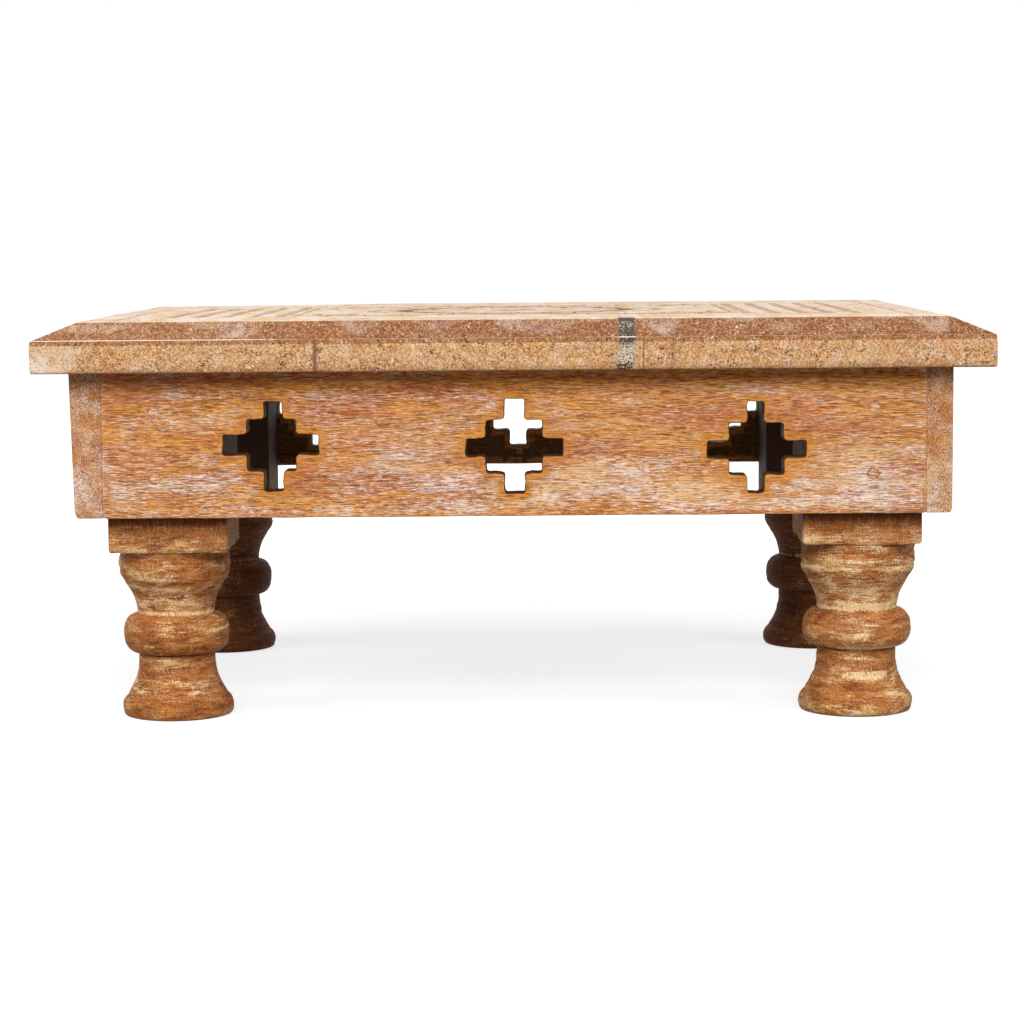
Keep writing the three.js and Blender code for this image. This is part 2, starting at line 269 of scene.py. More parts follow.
class Graph:
    """Adds nodes to the tree of one material or world."""

    def __init__(self, owner):
        self.owner = owner
        owner.use_nodes = True
        self.tree = owner.node_tree
        self.tree.nodes.clear()

    def node(self, kind, inputs, output=0, **settings):
        """Adds a node with its inputs, and gives one of its outputs."""
        made = self.tree.nodes.new("ShaderNode" + kind)
        for name, value in settings.items():
            setattr(made, name, value)
        for name, value in inputs.items():
            if isinstance(value, Value):
                self.tree.links.new(value.socket, made.inputs[name])
            else:
                made.inputs[name].default_value = value
        return Value(self, made.outputs[output])

    def math(self, operation, *values):
        """Works on numbers, or on vectors where one is given."""
        given = next(value for value in values if isinstance(value, Value))
        kind = "Math" if given.socket.type == "VALUE" else "VectorMath"
        return self.node(kind, dict(enumerate(values)), operation=operation)

    def join(self, x, y, z):
        return self.node("CombineXYZ", {0: x, 1: y, 2: z})

    def noise(self, place, detail=2.0, roughness=0.5, output="Fac"):
        inputs = {"Vector": place, "Scale": 1.0, "Detail": detail, "Roughness": roughness}
        return self.node("TexNoise", inputs, output)

    def mark(self, name):
        return self.node("Attribute", {}, "Fac", attribute_name=name)

    def object_place(self):
        return self.node("TexCoord", {}, "Object")

    def shown_behind(self):
        """1 for the rays that show the background: seen, reflected or let through."""
        seen, reflected, through = (self.node("LightPath", {}, f"Is {kind} Ray")
                                    for kind in ("Camera", "Glossy", "Transmission"))
        return self.math("MAXIMUM", self.math("MAXIMUM", seen, through), reflected)

    def put_out(self, shader, kind="Material"):
        output = self.tree.nodes.new("ShaderNodeOutput" + kind)
        self.tree.links.new(shader.socket, output.inputs[0])
        return self.owner

    def finish(self, colour, roughness, height, specular, bump_depth, metallic=0.0):
        bump = self.node("Bump", {"Strength": 1.0, "Distance": bump_depth, "Height": height})
        return self.put_out(self.node("BsdfPrincipled", {
            "Base Color": colour, "Roughness": roughness, "Normal": bump,
            "Specular IOR Level": specular, "Metallic": metallic,
        }))


# The three ways in which the grain can run, as the order of the axes with the grain's last
GRAIN_ORDER = {"X": (1, 2, 0), "Y": (0, 2, 1), "Z": (0, 1, 2)}


def grain_place(graph, grain, shift):
    """Object coordinates in mm, with the grain along the last axis."""
    parts = graph.object_place().split()
    return graph.join(*[parts[i] for i in GRAIN_ORDER[grain]]).scaled(1 / MM) + shift


def stretched(place, across, along, seed):
    """Coordinates for lumps of those sizes across and along the grain."""
    return place * (1 / across, 1 / across, 1 / along) + (seed, seed * 1.7, seed * 0.6)


def lumps(place, across, along, seed, detail=2.0, roughness=0.5):
    """Noise with lumps of those sizes."""
    return place.graph.noise(stretched(place, across, along, seed), detail, roughness)


def warped(place, strength):
    """Places moved across the grain, in long and short waves."""
    for across, along, share in ((45, 160, 1.0), (10, 36, 0.22)):
        bend = place.graph.noise(stretched(place, across, along, 3.1), output="Color")
        reach = strength * share
        place = place + (bend - (0.5, 0.5, 0.5)) * (reach, reach, 0)
    return place


def ring_figure(place, pith, width):
    """Growth rings about a pith line."""
    from_pith = place - (*pith, 0)
    radius = (from_pith * (1, 1, 0)).length()
    z = from_pith.split()[2]
    return place.graph.noise(place.graph.join(radius * (1 / width), z * (1 / 260), 0.0), 3.0, 0.65)


# Each wood: its colours, the size of its fibres, and how much there is of each mark of age
Wood = namedtuple("Wood", "deep middle red pale gold pore lime cream stain dirt "
                          "fibre lines lime_at pores spacing grains share bump")
WOODS = {
    "top": Wood(
        "9a6236", "d1a06c", "c7915e", "eccaa0", "d49d5b", "582c12", "f2e3d5", "e8cfae", "6c2d06",
        "805030", (1.2, 16), 0.0, 0.53, 0.97, 1.75, 0.5, 0.78, 0.22),
    "apron": Wood(
        "98521f", "da8f49", "ca7a4a", "efb97e", "e59838", "56290f", "fce8da", "f5d1a8", "d88f3a",
        "2c1608", (0.7, 9), 0.6, 0.52, 0.45, 1.3, 0.75, 0.88, 0.35),
    "leg": Wood(
        "6a3413", "b16831", "a1552d", "d7985a", "c57d2c", "4a2209", "f9d7a6", "f1c487", "8f5526",
        "2c1506", (0.9, 12), 0.5, 0.55, 0.4, 1.4, 1.0, 0.95, 0.5),
    "cleat": Wood(
        "8f6a42", "b58e60", "aa8458", "cdae82", "b98f50", "6a4a2c", "dcc7a4", "d0b488", "a87840",
        "4a3220", (1.2, 24), 0.5, 0.66, 0.4, 1.8, 0.7, 0.75, 0.3),
}


def bare_wood(place, look, pith):
    """Broad changes of colour, crossed by fibres and faint growth rings."""
    colour = lumps(place, 22, 90, 3.9).step(0.44, 0.6).between(look.red, look.middle)
    gold = lumps(place, 10, 58, 6.6, 3.0, 0.6).step(0.5, 0.6)
    colour = (gold * 0.75).between(colour, look.gold)
    rings = ring_figure(place, pith, 3.6) - 0.5
    fibre = rings * 0.35 + lumps(place, *look.fibre, 1.3, 2.0, 0.7)
    colour = (fibre.step(0.50, 0.38) * 0.85).between(colour, look.deep)
    return (fibre.step(0.53, 0.64) * 0.75).between(colour, look.pale), fibre


def turned_wood(place, look):
    """Bands round a turned piece, pale on its ridges and dark in its valleys."""
    bend = (lumps(place, 20, 20, 2.6) - 0.5) * 10
    around = place + place.graph.join(0.0, 0.0, bend)
    broad = lumps(around, 20, 3.0, 5.2, 2.0, 0.6)
    narrow = lumps(around, 8, 0.8, 1.4, 2.0, 0.6)
    grains = lumps(place, 0.7, 0.8, 4.8, 2.0, 0.7) - 0.5
    tone = place.graph.mark("ridge") * 0.06 + broad * 0.6 + narrow * 0.4 + grains * 0.5
    colour = tone.step(0.38, 0.49).between(look.deep, look.middle)
    colour = (tone.step(0.5, 0.62) * 0.9).between(colour, look.pale)
    gold = lumps(place, 11, 8, 7.1).step(0.5, 0.62)
    return (gold * 0.35).between(colour, look.gold), tone


def pores_of(place, look, length):
    """Vessels: dots across the grain and dashes along it, denser in places."""
    reach = lumps(place, 8, 34, 8.1, 3.0) * 0.95 - 0.22
    cells = {"Vector": stretched(place, look.spacing, length, 2.2), "Scale": 1.0}
    away = place.graph.node("TexVoronoi", cells, "Distance")
    return (away - reach).step(0.03, -0.06)


def lime_of(place, look):
    """Where lime is left on the wood, in patches of streaks."""
    streaks = lumps(place, 0.6, 6.5, 4.4, 3.0, 0.8)
    patch = lumps(place, 10, 46, 5.7, 3.0, 0.6)
    cover = streaks * 0.72 + patch * 0.28 + place.graph.mark("wash") * 0.16
    return cover.step(look.lime_at - 0.01, look.lime_at + 0.06)


def ridge_lime(place, look):
    """Where lime is left on a turned piece, in scraped and speckled patches."""
    scraped = lumps(place, 9, 1.0, 9.4, 3.0, 0.75)
    speckled = lumps(place, 0.7, 0.8, 3.3, 2.0, 0.7)
    patch = lumps(place, 14, 8, 1.7)
    ridge, wash = place.graph.mark("ridge"), place.graph.mark("wash")
    cover = scraped * 0.4 + speckled * 0.34 + patch * 0.26 + ridge * 0.08 + wash * 0.12
    return cover.step(look.lime_at - 0.02, look.lime_at + 0.045)


def wood(name, kind, grain, shift, pith=(12, -70), knot=None, turned=False, **changes):
    """Limed wood as a solid texture. Marks on the mesh add wash, wear, dirt and stain; the dirt and
    stain marks also carry painted shade.
    """
    look = Wood(*(linear(value) if isinstance(value, str) else value
                  for value in WOODS[kind]._replace(**changes)))
    graph = Graph(bpy.data.materials.new(name))
    wash, wear, dirt, stain = (graph.mark(mark) for mark in ("wash", "wear", "dirt", "stain"))
    place = warped(grain_place(graph, grain, shift), 9.0)
    colour, tone = bare_wood(place, look, pith)
    lime = lime_of(place, look)
    open_pores = (wash * -0.9 + 1.0 + stain * -0.8).clamped()
    pores = pores_of(place, look, 2.4 if turned else 7) * open_pores
    lines = lumps(place, 0.55, 13, 9.9, 2.0, 0.6).step(0.56, 0.63) * look.lines
    if turned:
        on_turning = graph.mark("turned")
        off_turning = 1.0 - on_turning
        lines = lines * off_turning
        round_colour, round_tone = turned_wood(place, look)
        colour = (on_turning * 0.8).between(colour, round_colour)
        tone = tone * off_turning + round_tone * on_turning
        lime = lime * off_turning + ridge_lime(place, look) * on_turning

    ragged = lumps(place, 1.6, 5, 6.1, 3.0, 0.7)
    # Mixes in the stain colour: real stain on the bevel, the edge's band and round the cut-outs, and
    # painted shade low on the top's edge and on faces inside the frame.
    colour = (stain * ragged.step(0.2, 0.66)).between(colour, look.stain)
    lime_colour = lumps(place, 14, 50, 2.9).step(0.42, 0.6).between(look.lime, look.cream)
    filled = lumps(place, 5, 20, 8.9).step(0.56, 0.62)
    pore_colour = filled.between(look.pore, lime_colour)
    colour = (pores * look.pores).between(colour, pore_colour)
    colour = (lime * (stain * -0.35 + look.share)).between(colour, lime_colour)
    colour = lines.between(colour, look.pore)
    if knot:
        colour = knot(graph, colour)
    # Darkens towards the dirt colour: dirt in joints, carving and turned valleys, and painted shade
    # under the top, in the legs' creases and inside the frame.
    colour = ((ragged * 0.5 + dirt).step(0.5, 1.0) * 0.9).between(colour, look.dirt)
    colour = (wear * ragged).step(0.34, 0.5).between(colour, look.lime)
    grains = (lumps(place, 0.9, 2.4, 7.7, 1.0) - 0.5) * look.grains
    colour = colour.scaled(grains * (stain * -0.5 + 1.0) + 1.0)

    height = tone * 1.2 + pores * -0.6 + lime * 0.15
    return graph.finish(colour, lime * 0.12 + 0.68, height, 0.22, look.bump * MM)


# The knot in the centre board: a dark resinous streak that comes out at the front edge
KNOT_X, KNOT_HALF_WIDTH, KNOT_FROM_Y = 71.3, 5.0, -188
KNOT_ARRIS_Z, KNOT_DARK_Z, KNOT_SPECKLED_Z = 246.9, 243.2, 232.5
BEVEL_TOP_Z = 255.8


def knot(graph, colour):
    """Lays the knot over a colour: dark above, speckled below, and worn white at the arris."""
    place = grain_place(graph, "Y", (0, 0, 0))
    x, z, y = place.split()
    ragged = graph.noise(place * (0.7, 0.5, 0.1), 3.0, 0.7)
    middle = z.step(KNOT_DARK_Z, KNOT_SPECKLED_Z - 5) * -2.0 + KNOT_X
    edge = ragged * 4.0 + abs(x - middle)
    inside = edge.step(KNOT_HALF_WIDTH + 3.2, KNOT_HALF_WIDTH + 1.0)
    inside = inside * y.step(KNOT_FROM_Y, KNOT_FROM_Y - 10)
    speckle = graph.noise(place * (0.9, 0.9, 0.6), 2.0, 0.6)
    white_at = z.step(250, 255) * -0.06 + 0.59 + z.step(BEVEL_TOP_Z, BEVEL_TOP_Z + 1) * 0.2
    dark = (speckle - white_at).step(0.0, 0.06).between(linear("2e2422"), linear("cbbcae"))
    pits_at = z.step(KNOT_SPECKLED_Z, KNOT_SPECKLED_Z - 3) * 0.14 + 0.45
    pale = (speckle - pits_at).step(0.03, -0.04).between(linear("d3c3ae"), linear("2f211a"))
    low = z.step(KNOT_DARK_Z + 2, KNOT_DARK_Z - 4)
    colour = (inside * 0.92).between(colour, low.between(dark, pale))
    arris = abs(z - KNOT_ARRIS_Z).step(0.42, 0.12)
    return (arris * inside).between(colour, linear("f3ece4"))


# Top

def axis_lines(low, high, pitch, low_steps, high_steps):
    """Grid lines from low to high, crowded at both ends."""
    start = low + low_steps
    end = high - high_steps[::-1]
    count = max(round((end[0] - start[-1]) / pitch), 1)
    middle = np.linspace(start[-1], end[0], count + 1)[1:-1]
    return np.concatenate([start, middle, end])


def groove(distance, half=GROOVE_HALF):
    """A groove's depth, from 0 to 1, at a distance from its line."""
    return ramp(1 - abs(distance) / half, 0, 1)


def rectangle_line(x, y, half_x, half_y):
    return groove(np.maximum(abs(x) - half_x, abs(y) - half_y))


def reeds(x, y):
    ends = ramp(REED_END - abs(y), 0, 6 * MM)
    lines = REED_FIRST + np.arange(REEDS) * REED_PITCH
    return np.max([groove(abs(x) - line, REED_HALF) for line in lines], axis=0) * ends


def lobes(radius, reach, wave, slant):
    """The outline of lobes round a middle, cut with a fine tool."""
    return 0.9 * groove((radius - reach * abs(wave)) * slant, FINE_GROOVE_HALF)


def medallion(x, y):
    """Two rings with scallops between them, and a rosette round a boss."""
    radius = np.hypot(x, y)
    angle = np.arctan2(y, x)
    scallops = abs(np.sin(SCALLOPS / 2 * angle)) ** 0.7
    petals = abs(np.cos(PETALS / 2 * angle)) ** 0.8
    return np.max([
        groove(radius - RING_OUTER, WIDE_GROOVE_HALF),
        groove(radius - RING_INNER, RING_GROOVE_HALF),
        lobes(radius - RING_INNER, 0.86 * (RING_OUTER - RING_INNER), scallops, 0.6),
        lobes(radius - BOSS_RADIUS, PETAL_REACH, petals, 0.45) * ramp(radius, *PETAL_START),
        groove(radius - BOSS_RADIUS, WIDE_GROOVE_HALF),
        round_dots(radius, angle),
    ], axis=0)


def round_dots(radius, angle):
    """Punched dots in a ring on the boss."""
    turn = 2 * pi / DOTS
    off = angle - np.round(angle / turn) * turn
    away = np.hypot(radius * np.cos(off) - DOT_RING, radius * np.sin(off))
    return np.sqrt(np.clip(1 - (away / DOT_RADIUS) ** 2, 0, 1))


def border_nicks(x, y):
    """Short gouge cuts across the long sides of the middle panel."""
    nearest = np.round(x / NICK_PITCH) * NICK_PITCH
    away = np.hypot((x - nearest) / NICK_HALF_WIDTH, (abs(y) - PANEL_Y) / NICK_HALF_LENGTH)
    inside = abs(nearest) < PANEL_X - 10 * MM
    return np.where(inside, np.sqrt(np.clip(1 - away ** 2, 0, 1)), 0)


def corner_leaves(x, y):
    """A fan of three leaves in each corner of the middle panel."""
    x, y = PANEL_X - LEAF_INSET - abs(x), PANEL_Y - LEAF_INSET - abs(y)
    leaves = abs(np.sin(3 * np.arctan2(y, x))) ** 0.7
    return np.where((x > 0) & (y > 0), lobes(np.hypot(x, y), LEAF_REACH, leaves, 0.5), 0)


def carving(x, y):
    """The carving's depth, from 0 to 1, with the wander of a hand-held tool."""
    flat = vectors(x, y, 0)
    x = x + 0.35 * MM * noise(flat, 23, 11)
    y = y + 0.35 * MM * noise(flat, 19, 12)
    depth = np.max([
        rectangle_line(x, y, FRAME_X, FRAME_Y), rectangle_line(x, y, PANEL_X, PANEL_Y),
        reeds(x, y), medallion(x, y), border_nicks(x, y), corner_leaves(x, y),
    ], axis=0)
    return depth * (0.85 + 0.25 * noise(flat, 31, 13))


def top_surface(x, y, high):
    """The top's height, the distance from its edge and how deep the carving is."""
    inset = np.minimum(high.x - abs(x), high.y - abs(y))
    edge = high.z - BEVEL_RISE
    slope = edge + BEVEL_RISE * (inset - BEVEL_END) / (BEVEL_RUN - BEVEL_END)
    soft = 0.5 * MM
    height = -soft * np.logaddexp(-slope / soft, -high.z / soft)
    depth = carving(x, y) * (inset > BEVEL_RUN)
    flat = vectors(x, y, 0)
    fall = BACK_FALL * ramp(y, -high.y, high.y)
    fall = fall + CORNER_FALL * ramp(y, -60 * MM, 180 * MM) * ramp(-x, 60 * MM, 230 * MM)
    height = height - fall * ramp(inset, 0, 40 * MM)
    return height - GROOVE_DEPTH * depth + 0.1 * MM * (noise(flat, 35, 14) - 1), inset, depth


# The top's edge in section, downwards from the bevel: inset and height over the underside, in mm
EDGE_SECTION = [(0.62, 20.25), (0.42, 19.6), (0.33, 18.7), (0.24, 17.8), (0.1, 17.1), (0.0, 16.6)]
EDGE_SECTION += [(0.0, height) for height in np.linspace(16.6, 2.2, 13)[1:]]
EDGE_SECTION += [(0.05, 1.3), (0.25, 0.65), (0.65, 0.2), (1.3, 0.0)]


def joint_sink(x, joints):
    """How far the surface falls into the glue lines beside it."""
    away = np.min([abs(x - joint) for joint in joints], axis=0)
    return np.clip(1 - away / (0.7 * MM), 0, 1)


def perimeter(grid):
    return np.concatenate([grid[:-1, 0], grid[-1, :-1], grid[:0:-1, -1], grid[0, :0:-1]])


def top_board(name, material, low, high, joints):
    """A board of the top: a carved grid, its edges and its underside."""
    start, end = (corner.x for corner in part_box(name))
    xs = axis_lines(start, end, TOP_GRID, end_steps(start, joints), end_steps(end, joints))
    ys = axis_lines(low.y, high.y, TOP_GRID, ARRIS_STEPS, ARRIS_STEPS)
    x, y = np.meshgrid(xs, ys, indexing="ij")
    x = np.clip(x, low.x + BEVEL_END, high.x - BEVEL_END)
    y = np.clip(y, low.y + BEVEL_END, high.y - BEVEL_END)
    z, inset, depth = top_surface(x, y, high)
    sink = joint_sink(x, joints)
    shell = Shell()
    grid = shell.add(
        vectors(x, y, z - JOINT_DEPTH * sink),
        **top_marks(*(part.ravel() for part in (x, y, inset, spread(depth), sink))),
    ).reshape(x.shape)
    shell.sheet(grid)
    outline = perimeter(vectors(x, y))
    rows = [perimeter(grid)]
    for inset_mm, height_mm in EDGE_SECTION:
        points = edge_ring(outline, inset_mm * MM, low.z + height_mm * MM, high, joints)
        rows.append(shell.add(points, **edge_marks(points, height_mm, joints)))
    shell.join(rows)
    shell.cap(rows[-1])
    shell.piece("carved_" + name, material, name)


def spread(depth):
    """The carving's depth, carried one step past the ends of each cut."""
    beside = np.pad(depth, ((0, 0), (1, 1)))
    return np.max([beside[:, :-2], depth, beside[:, 2:]], axis=0)


def paleness_of_cuts(x, y):
    """How much lighter the carving's darkening, dirt with painted shade, is in places."""
    radius = np.hypot(x, y)
    beside_panel = ramp(abs(x), PANEL_X - 6 * MM, PANEL_X - 3 * MM)
    off_ring = ramp(abs(radius - RING_INNER), 7 * MM, 10 * MM)
    off_ring = off_ring * (radius < RING_OUTER + 5 * MM)
    at_border = ramp(abs(y), 150 * MM, 165 * MM)
    return np.max([0.5 * beside_panel, 0.48 * off_ring, 0.6 * at_border], axis=0)


def top_marks(x, y, inset, depth, sink):
    """Lime on the flat, a stained bevel limed towards its upper edge, and grooves darkened with dirt
    and with painted shade that reaches their rims.
    """
    flat = inset > BEVEL_RUN
    points = vectors(x, y, 0)
    cover = 0.95 + 0.35 * noise(points, (34, 60, 1), 15)
    up = inset / BEVEL_RUN
    patch = noise(points, (24, 24, 1), 16)
    patch += 0.5 * noise(points, (70, 4, 1), 17) * ramp(-x, 0.15, 0.22)
    bevel_cover = 0.8 * ramp(patch + 1.1 * (up - 0.55), -0.1, 0.6) - 0.55
    under_flat = hump(BEVEL_RUN - MM - inset, MM)
    arris_wear = (0.75 + 0.6 * ramp(-x, 130 * MM, 180 * MM)) * (inset < BEVEL_END + 0.5 * MM)
    flat_edge = hump(inset - BEVEL_RUN - 0.8 * MM, MM)
    # Dark in the carving: dirt, and painted shade carried out to the grooves' rims.
    carved = ramp(depth, 0.0, 0.14) * (1 - paleness_of_cuts(x, y))
    bevel_stain = 0.86 + 0.14 * ramp(x, -200 * MM, -80 * MM)
    return {
        "wash": np.where(flat, cover, bevel_cover),
        "stain": np.where(flat, 0.0, bevel_stain),
        "dirt": np.max([carved, 0.4 * sink, 0.45 * under_flat], axis=0),
        "wear": np.maximum(0.7 * flat_edge, arris_wear),
    }


def end_steps(x, joints):
    near_joint = min(abs(x - joint) for joint in joints) < MM
    return JOINT_STEPS if near_joint else ARRIS_STEPS


def edge_ring(outline, inset, height, high, joints):
    """The outline at one height of the edge, with a little waviness."""
    x, y = outline.T
    on_x = abs(x) > high.x - BEVEL_END - 1e-6
    on_y = abs(y) > high.y - BEVEL_END - 1e-6
    points = vectors(np.where(on_x, np.sign(x) * (high.x - inset), x),
                     np.where(on_y, np.sign(y) * (high.y - inset), y), height)
    wave = 0.15 * MM * (noise(points, (30, 30, 7), 21) - 1)
    sink = JOINT_DEPTH * joint_sink(x, joints)
    points[:, 0] += np.where(on_x, np.sign(x) * wave, 0)
    points[:, 1] += np.where(on_y, np.sign(y) * (wave - sink), 0)
    return points


def edge_marks(points, height_mm, joints):
    band = 17.2 < height_mm < 20.3
    x = points[:, 0]
    smooth_end = ramp(-x, 268 * MM, 280 * MM)
    beside = 0.72 * hump(x - joints[0], 2.2 * MM)
    # Painted shade, darker towards the bottom of the edge face.
    low_shade = 0.45 * ramp(height_mm, 5.5, 1.0) * (1 - smooth_end)
    return {
        # Dark glue lines, and painted shade on the rows at the underside's arris.
        "dirt": np.max([0.95 * joint_sink(x, joints), beside, 0.7 * (height_mm < 0.5) + 0 * x], axis=0),
        "stain": 0.7 if band else low_shade,
        "wash": -1.0 if band else 0.5 * smooth_end - 0.08,
        "wear": 0.5 if height_mm > 20.2 else 0.0,
    }


def make_top():
    corners = [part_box("top_board_" + place) for place in ("left", "centre", "right")]
    low, high = corners[0][0].copy(), corners[2][1].copy()
    joints = (corners[0][1].x, corners[1][1].x)
    looks = {
        "left": dict(shift=(0, 0, 0), pith=(-150, 150), lime="f5e8da"),
        "centre": dict(shift=(0, 0, 700), pith=(30, 330), knot=knot),
        "right": dict(shift=(40, 0, 1500), pith=(330, 190)),
    }
    for place, look in looks.items():
        material = wood("top_wood_" + place, "top", "Y", **look)
        top_board("top_board_" + place, material, low, high, joints)


# Aprons

def lengths_along(curve):
    return np.concatenate([[0], np.cumsum(np.linalg.norm(np.diff(curve, axis=0), axis=1))])


def at_lengths(curve, lengths):
    """Points of a curve at lengths from its start."""
    return vectors(*(np.interp(lengths, lengths_along(curve), part) for part in curve.T))


def along(points, step):
    """Evenly spaced points round a closed outline."""
    closed = np.vstack([points, points[:1]])
    total = lengths_along(closed)[-1]
    count = round(total / step)
    return at_lengths(closed, np.arange(count) * total / count)


def rounded(corners, inner_radius, outer_radius):
    """A closed outline with quarter rounds, of one size where it turns left and another right."""
    corners = np.asarray(corners, float)
    points = []
    for i, corner in enumerate(corners):
        before = corners[i - 1] - corner
        after = corners[(i + 1) % len(corners)] - corner
        turn = before[1] * after[0] - before[0] * after[1]
        radius = inner_radius if turn > 0 else outer_radius
        start = corner + before / np.linalg.norm(before) * radius
        end = corner + after / np.linalg.norm(after) * radius
        for t in np.linspace(0, 1, 7):
            points.append((1 - t) ** 2 * start + 2 * t * (1 - t) * corner + t * t * end)
    return np.array(points)


def stepped_cross(xs, zs):
    """The corners of a stepped cross from its six upright and six level cuts."""
    order = [(5, 2), (5, 3), (4, 3), (4, 4), (3, 4)]
    for _ in range(3):
        order += [(5 - j, i) for i, j in order[-5:]]
    return [(xs[i], zs[j]) for i, j in order]


def sawn(corners, seed):
    """The outline of a hand-sawn cut-out, with worn corners and a wandering cut."""
    outline = along(rounded(corners, 1.5 * MM, 2.9 * MM), OUTLINE_STEP)
    solid = vectors(*outline.T, 0)
    wander = 0.4 * MM * noise(solid, 7, seed) + 0.22 * MM * noise(solid, 2.4, seed + 1)
    return outline + normals(outline) * wander[:, None]


def normals(outline):
    """Unit vectors pointing out of an anticlockwise outline."""
    along_it = np.roll(outline, -1, axis=0) - np.roll(outline, 1, axis=0)
    out = vectors(along_it[:, 1], -along_it[:, 0])
    out = out + 0.5 * (np.roll(out, 1, axis=0) + np.roll(out, -1, axis=0))
    return out / np.linalg.norm(out, axis=1, keepdims=True)


def regular_cuts(middle, step, seed):
    """Six cuts of a regular cut-out, each a little off its line."""
    off = np.random.default_rng(seed).uniform(-0.6, 0.6, 6) * MM
    return middle + (np.arange(6) - 2.5) * step + off


def inside(points, outline):
    """Which points lie inside a closed outline."""
    x, z = points.T
    found = np.zeros(len(points), bool)
    for (x1, z1), (x2, z2) in zip(outline, np.roll(outline, -1, axis=0)):
        if z1 == z2:
            continue
        crosses = (z1 > z) != (z2 > z)
        found ^= crosses & (x < (x2 - x1) * (z - z1) / (z2 - z1) + x1)
    return found


def on_face(points, outlines):
    """Which points lie inside the first outline and outside the rest."""
    found = [inside(points, outline) for outline in outlines]
    return found[0] & ~np.any(found[1:], axis=0)


def distance_to(points, outlines):
    """Distance from each point to the nearest point of the outlines."""
    ends = np.vstack(outlines)
    parts = np.array_split(points, len(points) // 1000 + 1)
    return np.concatenate([np.linalg.norm(part[:, None] - ends, axis=2).min(axis=1)
                           for part in parts])


def grid_points(low, high, pitch, seed):
    """A grid of slightly shaken points over a rectangle."""
    xs = np.arange(low[0], high[0], pitch)
    zs = np.arange(low[1], high[1], pitch)
    x, z = np.meshgrid(xs, zs)
    points = vectors(x.ravel(), z.ravel())
    return points + np.random.default_rng(seed).uniform(-0.2, 0.2, points.shape) * pitch


def face_points(outlines, fine, seed):
    """Points inside a face: a coarse grid, and a fine one round its holes."""
    points = grid_points(outlines[0].min(axis=0), outlines[0].max(axis=0), FACE_GRID, seed)
    if fine:
        boxes = [(hole.min(axis=0) - CUTOUT_MARGIN, hole.max(axis=0) + CUTOUT_MARGIN)
                 for hole in outlines[1:]]
        for box_low, box_high in boxes:
            near = ((points > box_low) & (points < box_high)).all(axis=1)
            points = points[~near]
        points = np.vstack([points] + [grid_points(*box, CUTOUT_GRID, seed + 1) for box in boxes])
    points = points[on_face(points, outlines)]
    return points[distance_to(points, outlines) > 0.8 * MM]


def fill_face(outlines, points):
    """Triangles between outlines and through points, numbered in that order."""
    everything = np.vstack([*outlines, points])
    edges = []
    start = 0
    for outline in outlines:
        numbers = np.arange(start, start + len(outline))
        edges += vectors(numbers, np.roll(numbers, -1)).tolist()
        start += len(outline)
    found = delaunay_2d_cdt(everything.tolist(), edges, [], 0, 1e-7)
    source = [origins[0] for origins in found[3]]
    triangles = np.array([[source[i] for i in face] for face in found[2]])
    return triangles[on_face(everything[triangles].mean(axis=1), outlines)]


class Side:
    """A side of the frame, laid out along it, into it and up."""

    def __init__(self, name, turn):
        self.name = name
        self.node = "apron_" + name
        self.cos, self.sin = cos(radians(turn)), sin(radians(turn))
        low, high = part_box(self.node)
        run, out = (0, 1) if turn in (0, 180) else (1, 0)
        self.grain = "XY"[run]
        self.half_length = high[run]
        self.outer = max(-low[out], high[out])
        self.thickness = high[out] - low[out]
        self.bottom, self.top = low.z, high.z

    def swelling(self, depth, z):
        """How far a point stands out where the face leans, less where its foot is worn."""
        low, high, worn = LEANS.get(self.name, (0, 0, 0))
        above = np.clip(z - self.bottom, 0, None)
        foot = np.clip(1 - above / (5 * MM), 0, 1) ** 2
        lean = low + (high - low) * above / (self.top - self.bottom)
        return (lean - worn * foot) * (1 - depth / self.thickness)

    def in_table(self, x, depth, z):
        """Points of the table for places on this side."""
        out = depth - self.outer - self.swelling(depth, z)
        return vectors(x * self.cos - out * self.sin, x * self.sin + out * self.cos, z)

    def laid_out(self, points):
        """Places along the side and up, for points of the table."""
        x, y, z = points.T
        return vectors(x * self.cos + y * self.sin, z)

    def plug_places(self):
        """Where the plugs are, along the side and up, with each one's node."""
        nodes = [f"screw_plug_{self.name}_{i}" for i in range(1, 5)]
        middles = np.array([sum(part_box(node), Vector()) / 2 for node in nodes])
        return [(x, z, node) for (x, z), node in zip(self.laid_out(middles), nodes)]


def arris_section(thickness):
    """Steps across a board's edge: how far into the wood and back from its face."""
    quarter = [radians(a) for a in (0, 30, 60, 90)]
    front = [(ARRIS + SUPPORT, 0.0)]
    front += [(ARRIS * (1 - sin(a)), ARRIS * (1 - cos(a))) for a in quarter]
    wall = [(0.0, float(d)) for d in np.linspace(ARRIS, thickness - ARRIS, 7)[1:-1]]
    back = [(inset, thickness - depth) for inset, depth in front[::-1]]
    return front + wall + back


def round_rows(shell, side, x, z, section, **marks):
    """Rings about a place on a side, at radii and depths in millimetres."""
    angle = np.linspace(0, 2 * pi, 24, endpoint=False)
    across, up = MM * np.cos(angle), MM * np.sin(angle)
    rows = []
    for radius, depth in section:
        points = side.in_table(x + radius * across, depth * MM, z + radius * up)
        rows.append(shell.add(points, dirt=0.9 if depth > 0.15 else 0.0, **marks))
    shell.join(rows)
    return rows


